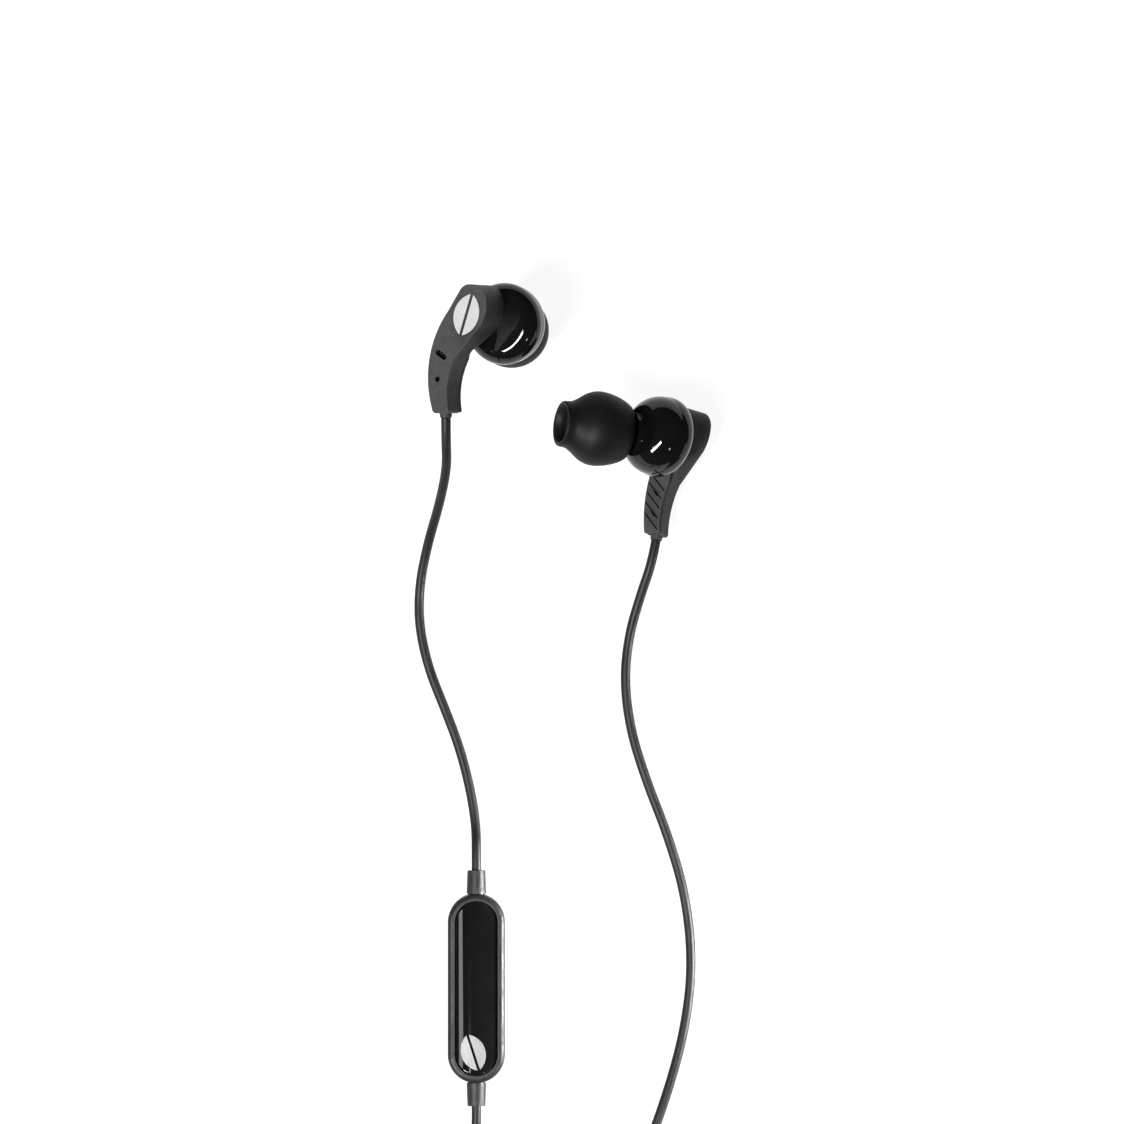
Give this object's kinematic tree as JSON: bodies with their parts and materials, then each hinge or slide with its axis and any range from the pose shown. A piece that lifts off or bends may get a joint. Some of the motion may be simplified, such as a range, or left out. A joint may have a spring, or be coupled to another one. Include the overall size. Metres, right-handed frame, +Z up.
{
  "type": "wired earphones",
  "caption": "In-ear earphones with angled stems, silicone tips, a flat pill-shaped in-line remote, thin cords and a round audio plug.",
  "frame": {"origin": "centre of the footprint of the earbuds and remote, on the surface that they lie on", "axes": "+Z up from the surface, +Y from the plug end towards the earbuds, +X towards the right earbud"},
  "size_m": [0.0494, 0.2762, 0.0272],
  "materials": {
    "silicone": "satin",
    "gloss_black": "polished",
    "matte_black": "fine matte",
    "grained_black": "coarse grained matte",
    "soft_black": "satin",
    "cord_rubber": "satin",
    "emblem_silver": "satin",
    "mesh_metal": "satin",
    "inner_plastic": "matte",
    "film": "satin",
    "copper": "satin",
    "magnet_metal": "satin",
    "steel": "satin",
    "circuit_board": "satin",
    "contact_metal": "polished"
  },
  "bodies": {
    "earphones": {"left_nozzle_mesh": "mesh_metal", "left_front_housing": "gloss_black", "left_rear_housing": "gloss_black", "left_driver_basket": "inner_plastic", "left_magnet": "magnet_metal", "left_top_plate": "steel", "left_yoke": "steel", "left_outer_cover": "matte_black", "left_inner_cover": "matte_black", "left_vent_mesh": "mesh_metal", "left_emblem": "emblem_silver", "left_cord_collar": "matte_black", "right_nozzle_mesh": "mesh_metal", "right_front_housing": "gloss_black", "right_rear_housing": "gloss_black", "right_driver_basket": "inner_plastic", "right_magnet": "magnet_metal", "right_top_plate": "steel", "right_yoke": "steel", "right_outer_cover": "matte_black", "right_inner_cover": "matte_black", "right_vent_mesh": "mesh_metal", "right_emblem": "emblem_silver", "right_cord_collar": "matte_black", "remote_back": "grained_black", "remote_shell": "grained_black", "remote_board": "circuit_board", "remote_switch": "steel", "remote_microphone": "steel", "remote_upper_boot": "grained_black", "remote_lower_boot": "grained_black", "plug_relief": "soft_black", "plug_handle": "matte_black", "plug_sleeve": "contact_metal", "plug_ring_inner": "contact_metal", "plug_ring_outer": "contact_metal", "plug_insulators": "inner_plastic", "plug_tip": "contact_metal", "left_cord_upper": "cord_rubber", "left_cord_lower": "cord_rubber", "right_cord": "cord_rubber", "main_cord": "cord_rubber", "cord_coil": "cord_rubber", "plug_cord": "cord_rubber", "splitter": "matte_black", "cord_tie": "soft_black"},
    "left_tip": {"left_ear_tip": "silicone"},
    "right_tip": {"right_ear_tip": "silicone"},
    "left_cone": {"left_diaphragm": "film", "left_voice_coil": "copper"},
    "right_cone": {"right_diaphragm": "film", "right_voice_coil": "copper"},
    "press_plate": {"remote_button": "gloss_black", "remote_emblem": "emblem_silver"}
  },
  "joints": [
    {"name": "left_tip_pull", "type": "slide", "parent": "earphones", "child": "left_tip", "axis": [0.1455, -0.0677, -0.987], "range_m": [0, 0.008]},
    {"name": "right_tip_pull", "type": "slide", "parent": "earphones", "child": "right_tip", "axis": [-0.9344, 0.1303, 0.3315], "range_m": [0, 0.008]},
    {"name": "left_cone_stroke", "type": "slide", "parent": "earphones", "child": "left_cone", "axis": [0.454, 0, -0.891], "range_m": [-0.00015, 0.00015], "stiffness_N_per_m": 120},
    {"name": "right_cone_stroke", "type": "slide", "parent": "earphones", "child": "right_cone", "axis": [-0.7677, 0.2201, 0.6018], "range_m": [-0.00015, 0.00015], "stiffness_N_per_m": 120},
    {"name": "remote_press", "type": "slide", "parent": "earphones", "child": "press_plate", "axis": [0, 0, -1], "range_m": [0, 0.0003], "stiffness_N_per_m": 4000}
  ]
}
